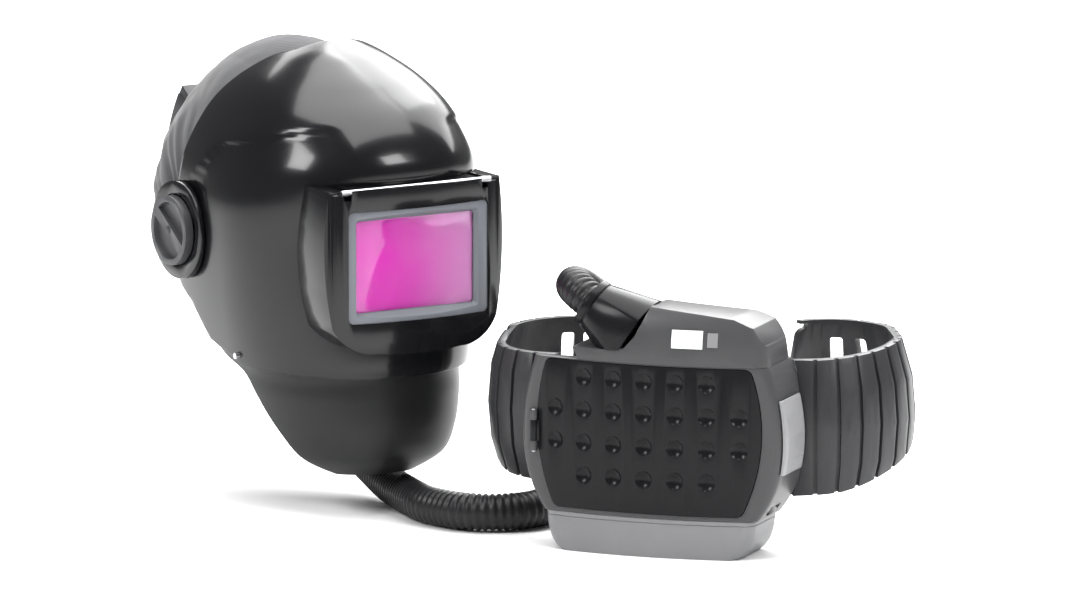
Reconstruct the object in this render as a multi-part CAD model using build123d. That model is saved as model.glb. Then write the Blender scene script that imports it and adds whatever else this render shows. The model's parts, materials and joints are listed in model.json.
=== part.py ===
from build123d import *
import math
import os

# Powered air respirator: a welding helmet and a belt-worn blower, joined by a breathing hose and
# laid out on a flat surface. Millimetres, +Z up. The origin is the centre of the battery's flat
# base; the blower's filter cover faces -Y and the belt curves away behind it towards +Y.
# The helmet is modelled about its tilt pivots, facing -Y, and then turned and put in place.

# ---------------------------------------------------------------- driving dimensions: layout
HELMET_YAW = 51.0
HELMET_AT = (-374.0, 171.8, 223.6)
# The helmet against the medium size that its tables below describe.
HELMET_SIZE = 1.02

# ---------------------------------------------------------------- driving dimensions: helmet
SHELL_WALL = 3.0
# height, half width, reach of the front, place of the widest point, reach of the back
SHELL_FORM = [
    (-112, 97, 170, 58, -140),
    (-95, 101, 174, 58, -145),
    (-55, 106, 171, 58, -150),
    (0, 109, 169, 58, -150),
    (40, 108, 174, 58, -140),
    (70, 102, 175, 57, -115),
    (100, 88, 155, 54, -85),
    (122, 70, 126, 50, -48),
    (140, 46, 94, 47, -12),
    (150, 27, 71, 46, 14),
]
SHELL_TOP = (156.5, 46)
# Side view outline of the shell's rear edge, as reach and height, from crown to chin.
REAR_EDGE = [(66, 172), (58, 151), (30, 138), (4, 108), (-12, 62), (-14, 40)]
LOWER_EDGE = [(8, -58), (34, -84), (80, -98), (180, -104)]
EAR_RADIUS = 41.0
PIVOT_RADIUS = 6.0
PIVOT_CLEARANCE = 0.08

GUARD_WALL = 3.5
GUARD_FORM = [
    (-84, 97.2, 168.3, 60, -40),
    (-97, 94.5, 167, 62, -38),
    (-108, 89, 167, 65, -34),
    (-125, 87, 169, 70, -25),
    (-150, 81, 170, 75, -10),
    (-172, 70, 163, 82, 10),
    (-187, 47, 141, 88, 35),
]
GUARD_EDGE = [(8, -70), (30, -88), (66, -108), (92, -138), (112, -166), (128, -196)]

VISOR_FRONT = 193.0
VISOR_CURVE = 290.0
VISOR_WALL = 4.0
LENS_SIZE = (109.0, 74.0)
LENS_AT = -9.0
CASSETTE_SIZE = (126.0, 92.0)
CASSETTE_FRONT = 186.0
CASSETTE_DEPTH = 11.0
WINDOW_SIZE = (136.0, 98.0)
VISOR_HINGE = (184.5, 52.5)

# ---------------------------------------------------------------- driving dimensions: headgear
HEAD_HALF = (78.0, 98.0)
HEAD_MID = -8.0
BAND_Z = (44.0, 70.0)
BAND_WALL = 2.6

# ---------------------------------------------------------------- driving dimensions: blower
FRONT_RADIUS = 350.0
FRONT_Y = -32.0
BACK_RADIUS = 205.0
BACK_Y = 30.0
BATTERY_TOP = 32.0
BODY_TOP = 158.0
COVER_PROUD = 1.0
DIMPLE_PITCH = (26.5, 26.8)
DIMPLE_RADIUS = 7.4
DIMPLE_DEPTH = 3.0
FAN_AT = (14.0, 96.0)
OUTLET_BASE = (-17.1, -3.0, 176.2)
OUTLET_RIM = (-56.4, -3.0, 202.5)
OUTLET_RADIUS = 35.0
COVER_HINGE = (-98.5, -21.5)
PIN_RADIUS = 1.4
KNUCKLE_RADIUS = 2.8
HOOD_TOP = [(-58, 158.2), (-76, 188), (-60, 206), (-34, 213.5), (-11, 205), (46, 199.5), (72, 196.5),
            (88, 190), (97, 176), (104, 168), (104, 158.2)]
SCOOP = [(7, 216), (-3, 193), (-9, 180), (-18, 170), (-30, 168), (-64, 168), (-110, 225), (-40, 260)]

# ---------------------------------------------------------------- driving dimensions: hose
HOSE_DIAMETER = 31.0
HOSE_RUN = [
    (-46.4, -3, 195.8), (-79.5, -3, 217.9), (-81, 43, 205), (-64, 80, 179), (-50, 107, 143),
    (-44, 136, 98), (-50, 170, 48), (-92, 190, 15.7), (-124, 146, 15.7), (-123, 97, 15.7),
    (-126.6, 49.7, 15.7), (-168.3, 23.9, 15.7), (-217, 46.6, 15.7), (-250, 88, 15.7),
    (-272, 116, 15.7), (-303, 151, 26), (-343, 177, 46), (-386, 199, 68), (-420, 216.5, 91),
]
# The last two points lie on the axis of the duct's socket, as reach and height in the helmet.
HOSE_END = [(-95, -108), (-129, -65.5)]

# ---------------------------------------------------------------- driving dimensions: belt
BELT_WALL = 7.0
GROOVE_PITCH = 19.0
GROOVE_DEPTH = 3.0
SLOT_AT = 134.0
SLOT_SIZE = (10.5, 22.0)
CORNER_LOW = 118.0
BELT_LEFT = [(-101, 38), (-150, 40), (-178, 90), (-165, 150), (-120, 175), (-60, 185)]
BELT_RIGHT = [(101, 38), (150, 52), (180, 122), (138, 204), (72, 232), (46, 196)]


# ================================================================ small helpers
def prism_x(face, low, high):
    """A face drawn as (Y, Z), as thick as from low to high along X."""
    return extrude(Plane.YZ.offset(low) * face, amount=high - low)


def prism_y(face, low, high):
    """A face drawn as (X, Z), as thick as from low to high along Y."""
    return extrude(Plane.XZ.offset(-high) * face, amount=high - low)


def rod(start, end, radius, end_radius=None):
    """A round bar or cone from one point to another."""
    begin, finish = Vector(*start), Vector(*end)
    along = finish - begin
    plane = Plane(origin=begin, z_dir=along)
    if end_radius is None:
        return extrude(plane * Circle(radius), amount=along.length)
    far = Plane(origin=finish, x_dir=plane.x_dir, z_dir=along)
    return loft([plane * Circle(radius), far * Circle(end_radius)])


def in_helmet(shape):
    """Puts a piece modelled about the helmet's pivots where the helmet stands."""
    return Location(HELMET_AT, (0, 0, HELMET_YAW)) * shape.scale(HELMET_SIZE)


def save(name, *shapes):
    """Writes one node, whose separate bodies stay separate solids."""
    solids = [solid for shape in shapes for solid in shape.solids()]
    export_step(Compound(children=solids), f"parts/{name}.step")


# ================================================================ helmet forms
def ring(height, half_width, front, middle, back, inset=0.0, power=2.25):
    """One level of the helmet: a squared oval, wider where the cheeks are."""
    points = []
    for step in range(20):
        angle = 2 * math.pi * step / 20
        side, forward = math.cos(angle), math.sin(angle)
        reach = (front if forward > 0 else 2 * middle - back) - middle
        x = (half_width - inset) * math.copysign(abs(side) ** (2 / power), side)
        y = middle + (reach - inset) * math.copysign(abs(forward) ** (2 / power), forward)
        points.append((x, -y, height - inset * max(0.0, height - 60) / 100))
    return Face(Wire(Spline(*points, periodic=True)))


def helmet_form(inset):
    """The closed form of the main shell, taken in by inset all round."""
    levels = [ring(z, w, f, m, b, inset) for z, w, f, m, b in SHELL_FORM]
    top, middle = SHELL_TOP
    return loft(levels + [Vertex(0, -middle, top - inset)])


def guard_form(inset):
    """The closed form of the neck guard, taken in by inset all round."""
    return loft([ring(z, w, f, m, b, inset) for z, w, f, m, b in GUARD_FORM])


def side_region(points):
    """Everything in front of a side view outline, which is given as reach and height."""
    flipped = [(-reach, height) for reach, height in points]
    first, last = flipped[0], flipped[-1]
    outline = Polyline(*flipped, (-400, last[1]), (-400, first[1]), first)
    return prism_x(make_face(outline), -160, 160)


def front_outline(half_top, half_middle, half_low, top, low):
    """The visor seen from the front: straight brow, bulging sides and a rounded jaw."""
    middle = (top + low) / 2
    left = ThreePointArc((-half_top, top), (-half_middle, middle), (-half_low, low + 22))
    jaw_left = ThreePointArc((-half_low, low + 22), (-half_low + 14, low + 7), (-half_low + 38, low + 1))
    jaw = ThreePointArc((-half_low + 38, low + 1), (0, low - 1), (half_low - 38, low + 1))
    jaw_right = ThreePointArc((half_low - 38, low + 1), (half_low - 14, low + 7), (half_low, low + 22))
    right = ThreePointArc((half_low, low + 22), (half_middle, middle), (half_top, top))
    return make_face([left, jaw_left, jaw, jaw_right, right, Line((half_top, top), (-half_top, top))])


def smooth_path(points):
    """A path through the corners, each pair of neighbours rounded to one radius."""
    pairs = list(zip(points, points[1:]))
    lengths = [(b - a).length for a, b in pairs]
    turns = [(b - a).get_angle(d - c) for (a, b), (c, d) in zip(pairs, pairs[1:])]
    halves = [0] + [math.tan(math.radians(turn / 2)) for turn in turns] + [0]
    shares = [0.94 * length / (a + b) for length, a, b in zip(lengths, halves, halves[1:])]
    radii = [min(pair) for pair in zip(shares, shares[1:])]
    return FilletPolyline(*points, radius=radii)


def rounded(size, radius, at=(0, 0)):
    """A rounded rectangle of size about the point at."""
    return Pos(*at) * RectangleRounded(size[0], size[1], radius)


def ring_sector(outer, inner, start, end, low, high):
    """A ring about the pivots from angle to angle, 0 being forward, from low to high across."""
    steps = [start + (end - start) * part / 2 for part in range(3)]
    far = [(-outer * math.cos(math.radians(a)), outer * math.sin(math.radians(a))) for a in steps]
    near = [(-inner * math.cos(math.radians(a)), inner * math.sin(math.radians(a))) for a in steps]
    edges = [ThreePointArc(*far), Line(far[2], near[2]), ThreePointArc(*near), Line(near[0], far[0])]
    return prism_x(make_face(edges), low, high)


# ================================================================ helmet pieces
def helmet_pieces():
    outer = helmet_form(0)
    inner = helmet_form(SHELL_WALL)
    clear = helmet_form(-1.0)
    keep = side_region(REAR_EDGE + [(-30, 26), (-38, 0), (-30, -28), (-10, -48)] + LOWER_EDGE)
    keep += rod((-160, 0, 0), (160, 0, 0), EAR_RADIUS)
    shell = (outer - inner) & keep
    shell -= prism_y(rounded(WINDOW_SIZE, 10, (0, LENS_AT)), -220, -100)
    bore = rod((-160, 0, 0), (160, 0, 0), PIVOT_RADIUS + PIVOT_CLEARANCE)
    shell -= bore
    hinge_y, hinge_z = -VISOR_HINGE[0], VISOR_HINGE[1]
    for side in (-1, 1):
        lug = Pos(side * 63.5, hinge_y + 20, hinge_z) * Box(5, 40, 9)
        lug += rod((side * 61, hinge_y, hinge_z), (side * 66, hinge_y, hinge_z), 4.5)
        lug -= rod((side * 59, hinge_y, hinge_z), (side * 68, hinge_y, hinge_z), 2.2)
        shell += lug - inner
    rivets = [rod((side * 97.6, -76, -92), (side * 104, -76, -92), 2.5) for side in (-1, 1)]
    holes = [rod((side * 86, -76, -92), (side * 108, -76, -92), 2.6) for side in (-1, 1)]
    shell -= holes
    save("helmet_shell", in_helmet(shell))
    pin = rod((-69, hinge_y, hinge_z), (69, hinge_y, hinge_z), 2.2)
    save("visor_hinge_pin", in_helmet(pin))

    plate = helmet_form(SHELL_WALL + 1.2) - helmet_form(SHELL_WALL + 3.2)
    plate &= prism_y(rounded((WINDOW_SIZE[0] + 12, WINDOW_SIZE[1] + 12), 12, (0, LENS_AT)), -220, -80)
    save("grinding_visor", in_helmet(plate))

    for side, name in ((-1, "right"), (1, "left")):
        boss = rod((side * 92, 0, 0), (side * 113.6, 0, 0), 39.5) - clear - bore
        boss += rod((side * 110, 0, 0), (side * 113.6, 0, 0), 30) - bore
        boss -= rod((side * 112.4, 0, 0), (side * 120, 0, 0), 29.2)
        save(f"pivot_boss_{name}", in_helmet(boss))

    guard = (guard_form(0) - guard_form(GUARD_WALL)) & side_region(GUARD_EDGE)
    save("neck_guard", in_helmet(guard))
    save("guard_rivets", in_helmet(Compound(children=rivets)))
    return clear


def visor_pieces(clear):
    hinge_y, hinge_z = -VISOR_HINGE[0], VISOR_HINGE[1]
    block = prism_y(front_outline(79, 82, 76, 54, -80), -230, -95)
    block &= rod((0, VISOR_CURVE - VISOR_FRONT, -150), (0, VISOR_CURVE - VISOR_FRONT, 150), VISOR_CURVE)
    hollow = prism_y(front_outline(75, 78, 72, 47.5, -75), -230, -95)
    front = VISOR_CURVE - VISOR_WALL
    hollow &= rod((0, VISOR_CURVE - VISOR_FRONT, -150), (0, VISOR_CURVE - VISOR_FRONT, 150), front)
    frame = block - clear - hollow
    frame -= prism_y(rounded((LENS_SIZE[0] + 21, LENS_SIZE[1] + 17), 5, (2, LENS_AT)), -230, -150)
    frame -= rod((-90, hinge_y, hinge_z), (90, hinge_y, hinge_z), 2.25)
    for side in (-1, 1):
        frame -= Pos(side * 63.5, hinge_y + 14, hinge_z) * Box(6.2, 54, 13)
    save("visor_frame", in_helmet(frame))

    lens_y = -CASSETTE_FRONT + 3
    tray = prism_y(rounded((LENS_SIZE[0] + 20.4, LENS_SIZE[1] + 16.4), 4.7, (2, LENS_AT)), -230, lens_y + 1)
    tray &= rod((0, VISOR_CURVE - VISOR_FRONT, -150), (0, VISOR_CURVE - VISOR_FRONT, 150), VISOR_CURVE - 1)
    cut = [prism_y(rounded(LENS_SIZE, 3, (0, LENS_AT)), -230, -100)]
    bevel_low = Plane.XZ.offset(-lens_y) * rounded((LENS_SIZE[0] + 1, LENS_SIZE[1] + 1), 3, (0, LENS_AT))
    bevel_size = (LENS_SIZE[0] + 14, LENS_SIZE[1] + 12)
    bevel_high = Plane.XZ.offset(-lens_y + 12) * rounded(bevel_size, 4, (2, LENS_AT))
    cut.append(loft([bevel_low, bevel_high]))
    for tool in cut:
        tray -= tool
    save("lens_bezel", in_helmet(tray))

    back = lens_y + 1.2
    cassette = prism_y(rounded(CASSETTE_SIZE, 5, (0, LENS_AT)), back, back + CASSETTE_DEPTH)
    cassette -= prism_y(rounded((LENS_SIZE[0] + 2, LENS_SIZE[1] + 2), 3, (0, LENS_AT)), back - 1, back + 5)
    cassette -= prism_y(rounded((96, 58), 3, (0, LENS_AT)), back - 1, back + 30)
    save("filter_cassette", in_helmet(cassette))
    plate_size = (LENS_SIZE[0] + 1, LENS_SIZE[1] + 1)
    glass = prism_y(rounded(plate_size, 2.5, (0, LENS_AT)), back + 1.2, back + 4.9)
    save("darkening_filter", in_helmet(glass))
    cover = prism_y(rounded(plate_size, 2.5, (0, LENS_AT)), back + 0.1, back + 1.1)
    save("outer_cover_plate", in_helmet(cover))
    clips = []
    for side in (-1, 1):
        for height in (LENS_AT - 24, LENS_AT + 24):
            clips.append(Pos(side * 68, back + 9, height) * Box(8, 10, 9))
    save("cassette_clips", in_helmet(Compound(children=clips)))


# ================================================================ headgear, cover and air duct
def headgear_pieces():
    middle = -HEAD_MID
    for side, name in ((-1, "right"), (1, "left")):
        profile = [(78.2, 66), (90, 30), (90, -16), (93, -16), (93, 32), (82, 66)]
        outline = [(side * x, z) for x, z in profile]
        arm = prism_y(make_face(Polyline(*outline, outline[0])), -12, 12)
        arm += rod((side * 91, 0, 0), (side * 93, 0, 0), 17)
        arm += rod((side * 91, 0, 0), (side * 113.8, 0, 0), PIVOT_RADIUS)
        arm += rod((side * 91, 0, 0), (side * 121.0, 0, 0), 4)
        save(f"pivot_arm_{name}", in_helmet(arm))
        knob = rod((side * 114.0, 0, 0), (side * 121.0, 0, 0), 28)
        knob -= rod((side * 116.5, 0, 0), (side * 130, 0, 0), 22, 25.5)
        grip = Pos(side * 118.5, 0, 0) * Rot(-side * 35, 0, 0) * Box(5, 46, 9)
        knob = (knob + grip) - rod((side * 110, 0, 0), (side * 125, 0, 0), 4.05)
        save(f"tilt_knob_{name}", in_helmet(knob))

    def oval(width, length, low, high):
        return Pos(0, middle, low) * extrude(Ellipse(width, length), amount=high - low)

    half, long = HEAD_HALF
    band_low, band_high = BAND_Z
    band = oval(half, long, band_low, band_high)
    band -= oval(half - BAND_WALL, long - BAND_WALL, band_low - 1, band_high + 1)
    save("headband", in_helmet(band))
    pad = oval(half - 2.8, long - 2.8, 46, 68) - oval(half - 9, long - 9, 40, 75)
    pad &= Pos(0, -125, 57) * Box(200, 160, 40)
    save("comfort_pad", in_helmet(pad))
    for number, (reach, height) in enumerate(((26, 106), (-30, 108))):
        outer_arc = ThreePointArc((-74.6, 60), (0, height), (74.6, 60))
        inner_arc = ThreePointArc((-72.8, 60), (0, height - 2), (72.8, 60))
        ends = [Line((-74.6, 60), (-72.8, 60)), Line((74.6, 60), (72.8, 60))]
        strap = prism_y(make_face([outer_arc, inner_arc, *ends]), -reach - 9, -reach + 9)
        strap &= oval(half - 2.9, long - 2.9, 50, 140)
        save(f"crown_strap_{('front', 'rear')[number]}", in_helmet(strap))
    back = middle + long
    housing = Pos(0, back + 6.2, 34) * Box(52, 10, 30)
    housing -= rod((0, back - 5, 34), (0, back + 20, 34), 6.05)
    save("ratchet_housing", in_helmet(housing))
    knob = rod((0, back + 11.5, 34), (0, back + 19, 34), 15)
    for angle in [math.pi * n / 5 for n in range(10)]:
        x, z = 17 * math.cos(angle), 34 + 17 * math.sin(angle)
        knob -= rod((x, back + 10, z), (x, back + 20, z), 3)
    knob += rod((0, back + 3, 34), (0, back + 12, 34), 6)
    save("ratchet_knob", in_helmet(knob))

    across, around = 98.0, 148.0

    def ovoid(x, r):
        half_oval = Ellipse(x, r) & Pos(0, 200) * Rectangle(400, 400)
        return revolve(half_oval, Axis.X, 360)

    cover = ovoid(across, around) - ovoid(across - 2.5, around - 2.5)
    hem = [(-92, 175), (-92, 128), (-30, 60), (10, 10), (20, -30), (170, -30), (170, 175)]
    cover &= prism_x(make_face(Polyline(*hem, hem[0])), -120, 120)
    cover -= rod((-120, 0, 0), (120, 0, 0), 47)
    cover -= ring_sector(170, 100, 143, 210, -37, 37)
    save("head_cover", in_helmet(cover))

    duct = ring_sector(132, 119, 62, 141, -34, 34) + ring_sector(132, 125, 140, 148, -34, 34)
    duct += ring_sector(157, 125, 144, 149, -34, 34)
    duct += ring_sector(157, 139, 147, 181, -35, 35) + ring_sector(157, 139, 180, 204, -24, 24)
    hollow = ring_sector(129.8, 121.2, 60, 139, -31.5, 31.5)
    hollow += ring_sector(129.8, 127, 138, 147, -31.5, 31.5)
    hollow += ring_sector(154.6, 127, 145.5, 148, -31.5, 31.5)
    hollow += ring_sector(154.6, 141.4, 147, 179, -32.5, 32.5)
    hollow += ring_sector(154.6, 141.4, 178, 202, -21.5, 21.5)
    duct += rod((0, 135, -58), (0, 119, -78), 18.2)
    duct -= oval(half + 0.8, long + 0.8, band_low - 0.8, band_high + 0.8)
    duct -= hollow
    duct -= rod((0, 139, -53), (0, 129, -65.5), 13)
    duct -= rod((0, 129, -65.5), (0, 117.4, -80), (HOSE_DIAMETER / 2 + 0.06) / HELMET_SIZE)
    save("air_duct", in_helmet(duct))


# ================================================================ blower forms
def plan(half, front, back, radius, low):
    """One level of the blower: bowed front, hollow back, straight sides and round corners."""
    front_centre, back_centre = FRONT_Y + FRONT_RADIUS, BACK_Y + BACK_RADIUS
    reach, hollow = front_centre - front, back_centre - back
    near = front_centre - math.sqrt(reach ** 2 - half ** 2)
    far = back_centre - math.sqrt(hollow ** 2 - half ** 2)
    edges = [
        ThreePointArc((-half, near), (0, front), (half, near)),
        Line((half, near), (half, far)),
        ThreePointArc((half, far), (0, back), (-half, far)),
        Line((-half, far), (-half, near)),
    ]
    face = make_face(edges)
    return Pos(0, 0, low) * fillet(face.vertices(), min(radius, 0.4 * (far - near)))


def blower_form(grow, levels, radius=13):
    """A closed form through levels, each a height and a half width, grown by grow all round."""
    faces = [plan(half + grow, FRONT_Y - grow, BACK_Y + grow, radius + grow, z) for z, half in levels]
    return loft(faces)


def front_arc_piece(outer, inner, outline, z_low=-10, z_high=260):
    """A curved plate parallel to the blower's front, cut to an outline of (X, Z)."""
    centre = (0, FRONT_Y + FRONT_RADIUS)
    plate = Pos(*centre, z_low) * extrude(Circle(outer) - Circle(inner), amount=z_high - z_low)
    return plate & prism_y(outline, -80, 40)


def barrel(low, high, half_low, half_mid, half_high, corner):
    """A front view outline with bowed sides and rounded corners."""
    middle = (low + high) / 2
    edges = [
        Line((-half_low, low), (half_low, low)),
        ThreePointArc((half_low, low), (half_mid, middle), (half_high, high)),
        Line((half_high, high), (-half_high, high)),
        ThreePointArc((-half_high, high), (-half_mid, middle), (-half_low, low)),
    ]
    face = make_face(edges)
    return fillet(face.vertices(), corner)


BODY_LEVELS = [(BATTERY_TOP, 92), (62, 107.5), (95, 112.5), (130, 108.5), (BODY_TOP, 100)]
INNER_LEVELS = [(BATTERY_TOP + 3, 93.5), (62, 107.5), (95, 112.5), (130, 108.5), (BODY_TOP - 3, 100.5)]


def knuckle(low, high, leaf_at, leaf_reach):
    """One barrel of the cover's hinge with the leaf that roots it, bored for the pin."""
    x, y = COVER_HINGE
    sleeve = rod((x, y, low), (x, y, high), KNUCKLE_RADIUS)
    leaf = Pos(x + leaf_at, y + 2.6, (low + high) / 2) * Box(leaf_reach * 2, 5.2, high - low)
    return sleeve + leaf - rod((x, y, low - 1), (x, y, high + 1), PIN_RADIUS + 0.05)


def shoulder(wall):
    """The wedge by which the casing's top slopes to the back beside the outlet."""
    high = BODY_TOP - wall
    slope = Polyline((-12, high), (70, high - 26), (70, high + 20), (-12, high + 20), (-12, high))
    return prism_x(make_face(slope), -130, -60 + wall)


# ================================================================ blower pieces
def blower_pieces():
    body = blower_form(0, BODY_LEVELS, 10) - shoulder(0)
    inner = blower_form(-3, INNER_LEVELS, 13) - shoulder(3)
    shell = body - inner
    cover_outline = barrel(36, 157, 80, 96, 87, 7)
    pocket_outline = barrel(35.6, 157.4, 80.4, 96.4, 87.4, 7.4)
    shell -= front_arc_piece(FRONT_RADIUS + 20, FRONT_RADIUS - 4.2, pocket_outline)
    shell -= front_arc_piece(FRONT_RADIUS + 20, FRONT_RADIUS - 30, barrel(44, 150, 72, 84, 76, 5))
    # openings: battery plug below, outlet above, air side holes, latch stems
    shell -= Pos(0, -2, BATTERY_TOP) * Box(56.6, 20.6, 20)
    shell -= Pos(-36, 2, BODY_TOP) * Box(36, 30, 20)
    shell -= rod((100, 12, 100), (120, 12, 100), 5.1)
    shell -= Pos(90, 10, 38) * Box(18, 22.6, 7.6)
    centre = (0, BACK_Y + BACK_RADIUS)
    rear_zone = Pos(*centre, 0) * extrude(Circle(BACK_RADIUS + 8), amount=260)
    rear = shell & rear_zone
    front = shell - (Pos(*centre, 0) * extrude(Circle(BACK_RADIUS + 8.2), amount=260))
    hinge_x, hinge_y = COVER_HINGE
    front -= rod((hinge_x, hinge_y, 87.8), (hinge_x, hinge_y, 105.2), 3.1)
    front -= Pos(hinge_x + 2.4, hinge_y + 2.8, 96.5) * Box(5.6, 6, 17.4)
    front += [knuckle(80, 87.8, -1.2, 2.5), knuckle(105.2, 113, -1.2, 2.5)]
    save("front_housing", front)
    save("cover_hinge_pin", rod((hinge_x, hinge_y, 79), (hinge_x, hinge_y, 114), PIN_RADIUS))
    rear_screws, holes = [], []
    for x in (-86, 86):
        for z in (58, 132):
            rear_screws.append(rod((x, 34, z), (x, 52, z), 2))
            holes.append(rod((x, 30, z), (x, 60, z), 2.05))
    rear -= holes
    save("rear_housing", rear)
    for_screws = [screw & rear_zone for screw in rear_screws]
    save("housing_screws", Compound(children=for_screws))

    cover = front_arc_piece(FRONT_RADIUS + COVER_PROUD, FRONT_RADIUS - 4, cover_outline)
    cover -= front_arc_piece(FRONT_RADIUS - 2, FRONT_RADIUS - 10, barrel(46, 148, 70, 82, 74, 4))
    reach = FRONT_RADIUS + COVER_PROUD
    ball = (DIMPLE_RADIUS ** 2 + DIMPLE_DEPTH ** 2) / (2 * DIMPLE_DEPTH)
    dimples = []
    for row, count in enumerate((5, 7, 7, 5)):
        for column in range(count):
            angle = (column - (count - 1) / 2) * DIMPLE_PITCH[0] / reach
            height = 63.8 + row * DIMPLE_PITCH[1]
            hub = reach + ball - DIMPLE_DEPTH
            at = (hub * math.sin(angle), FRONT_Y + FRONT_RADIUS - hub * math.cos(angle), height)
            dimples.append(Pos(*at) * Rot(90, 0, 0) * Sphere(ball))
    cover -= dimples
    cover -= Pos(hinge_x, hinge_y, 96.5) * Box(6.4, 12, 33.6)
    cover += knuckle(88, 105, 2.4, 2.4)
    save("filter_cover", cover)
    arrestor = front_arc_piece(FRONT_RADIUS - 4.6, FRONT_RADIUS - 5.8, barrel(45, 149, 71, 83, 75, 4))
    slots = [Pos(x, 0) * SlotOverall(40, 3, rotation=90) for x in range(-60, 61, 12)]
    pattern = Sketch() + [Pos(0, z) * slot for slot in slots for z in (72, 122)]
    arrestor -= prism_y(pattern, -60, 20)
    save("spark_arrestor", arrestor)
    save("prefilter", front_arc_piece(FRONT_RADIUS - 6, FRONT_RADIUS - 9, barrel(45, 149, 71, 83, 75, 4)))
    filter_block = front_arc_piece(FRONT_RADIUS - 9.2, FRONT_RADIUS - 22, barrel(45, 149, 71, 83, 75, 4))
    save("particle_filter", filter_block)


def fan_pieces():
    x, z = FAN_AT
    scroll = rod((x, 0, z), (x, 24, z), 41) - rod((x, 1.5, z), (x, 22, z), 38.5)
    scroll += Pos(x - 36, 12, z + 26) * Box(34, 24, 66) - rod((x, -5, z), (x, 25, z), 38.5)
    scroll -= Pos(x - 36, 12, z + 26) * Box(29, 20, 80)
    scroll -= rod((x, -6, z), (x, 0, z), 22)
    scroll -= rod((x, 21, z), (x, 26, z), 4.2)
    scroll &= blower_form(-3.2, INNER_LEVELS)
    save("fan_scroll", scroll)
    hub = rod((x, 3, z), (x, 18, z), 9) - rod((x, -2, z), (x, 19, z), 2.52)
    plate = rod((x, 16, z), (x, 18, z), 33) - rod((x, 15, z), (x, 19, z), 2.52)
    wheel = hub + plate
    for step in range(16):
        turned = Pos(x, 10, z) * Rot(0, step * 22.5, 0) * Pos(0, 0, 27) * Rot(0, 32, 0) * Box(1.6, 12.4, 12)
        wheel += turned
    save("impeller", wheel)
    motor = rod((x, 18.4, z), (x, 21, z), 16)
    motor += rod((x, 5, z), (x, 24, z), 2.5)
    save("fan_motor", motor & blower_form(-3.2, INNER_LEVELS))


def battery_pieces():
    levels = [(0, 76), (3, 80.5), (10, 85.5), (20, 88.5), (31.8, 90)]
    block = blower_form(0, levels, 12)
    hollow = blower_form(-2.5, [(2.5, 82), (10, 85.5), (20, 88.5), (40, 91)], 12)
    case = (block - hollow) & Pos(0, 10, 14) * Box(300, 200, 28)
    for x in (-31, 40):
        case -= Pos(x, FRONT_Y, 16) * Box(1.6, 2.4, 26)
    save("battery_case", case)
    lid = block & Pos(0, 10, 30.2) * Box(300, 200, 4)
    lid += Pos(0, -2, 37) * Box(56, 20, 12)
    for x in (-18, -9, 0, 9, 18):
        lid -= Pos(x, -2, 42) * Box(3, 12, 8)
    save("battery_lid", lid)
    cells = [rod((x, y, 12.5), (x + 65, y, 12.5), 7.8) for x in (-66.5, 1.5) for y in (-12.4, 3.6, 19.6)]
    save("battery_cells", Compound(children=cells))


def trim_pieces():
    plate = blower_form(2.9, BODY_LEVELS, 10) - blower_form(1.3, BODY_LEVELS, 10)
    plate &= Pos(125, 10, 100.5) * Box(50, 44, 61)
    plate += rod((105, 12, 100), (112.6, 12, 100), 5)
    save("cover_latch", plate)
    latch = Pos(91.5, 10, 38) * Box(9, 22, 7)
    save("battery_latch", latch)

    hood_levels = [(158.2, 100, 0), (170, 99, -0.6), (182, 97, -2), (192, 94, -5), (201, 89, -10), (209, 82, -17)]
    rings = [plan(w, FRONT_Y - g, BACK_Y + g, 14, z) for z, w, g in hood_levels]
    hood = loft(rings + [plan(76, FRONT_Y + 24, BACK_Y - 24, 4, 216)])
    outline = prism_y(make_face(Polyline(*HOOD_TOP, HOOD_TOP[0])), -60, 60)
    full = hood & outline
    inset = loft([plan(w - 2.6, FRONT_Y + 2.6 - g, BACK_Y - 2.6 + g, 12, z) for z, w, g in hood_levels])
    low = [(x * 0.965 + 1, z - 3.2) for x, z in HOOD_TOP[1:-1]]
    core = [(-50, 150)] + [point for point in low if point[0] > -12] + [(99, 150)]
    inset &= prism_y(make_face(Polyline((-2, 150), *core[1:], (-2, 150))), -60, 60)
    full -= inset
    full -= prism_y(make_face(Polyline(*SCOOP, SCOOP[0])), -60, 24)
    full -= Pos(-36, 0, 160) * Box(30, 24, 30)
    display = Pos(35.5, -30, 180) * Box(26.6, 20, 15.6)
    full -= display
    full -= Pos(56.5, -25, 180) * Box(9.4, 26, 12.4)
    full -= hose_form(0.3, 4)
    save("top_hood", full)
    base, rim = Vector(*OUTLET_BASE), Vector(*OUTLET_RIM)
    along = (rim - base).normalized()
    cuff = rod(base, rim, OUTLET_RADIUS, 18.6) + rod(rim - along * 6, rim, 19.4)
    cuff -= rod(base - along * 0.1, rim - along * 12, OUTLET_RADIUS - 2.5, 14)
    cuff -= rod(rim - along * 12, rim + along, HOSE_DIAMETER / 2 + 0.06)
    cuff &= Pos(-60, -4, 268.2) * Box(160, 55, 200)
    cuff -= hose_form(0.1, 4)
    cuff -= full
    save("outlet_cuff", cuff)
    window = hood & Pos(35.5, -30, 180) * Box(26, 12, 15)
    save("display_window", window)
    button = hood & Pos(56.5, -28, 180) * Box(8.8, 14, 11.8)
    save("power_button", button)
    board = Pos(42, -8, 176) * Box(70, 1.6, 24)
    save("control_board", board)


# ================================================================ belt and hose
def belt_section(at, side, shift_out, shift_in):
    """The belt's barrel profile as a face across its run: a steep middle between two bevels."""
    profile = [(-15, 175), (-2.5, 131), (0, 100), (-2.5, 70), (-15, 28)]
    outer = [at + side * (out + shift_out) + Vector(0, 0, z) for out, z in profile]
    inner = [at + side * (out + shift_in) + Vector(0, 0, z) for out, z in reversed(profile)]
    return make_face(Polyline(*outer, *inner, outer[0]))


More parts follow.
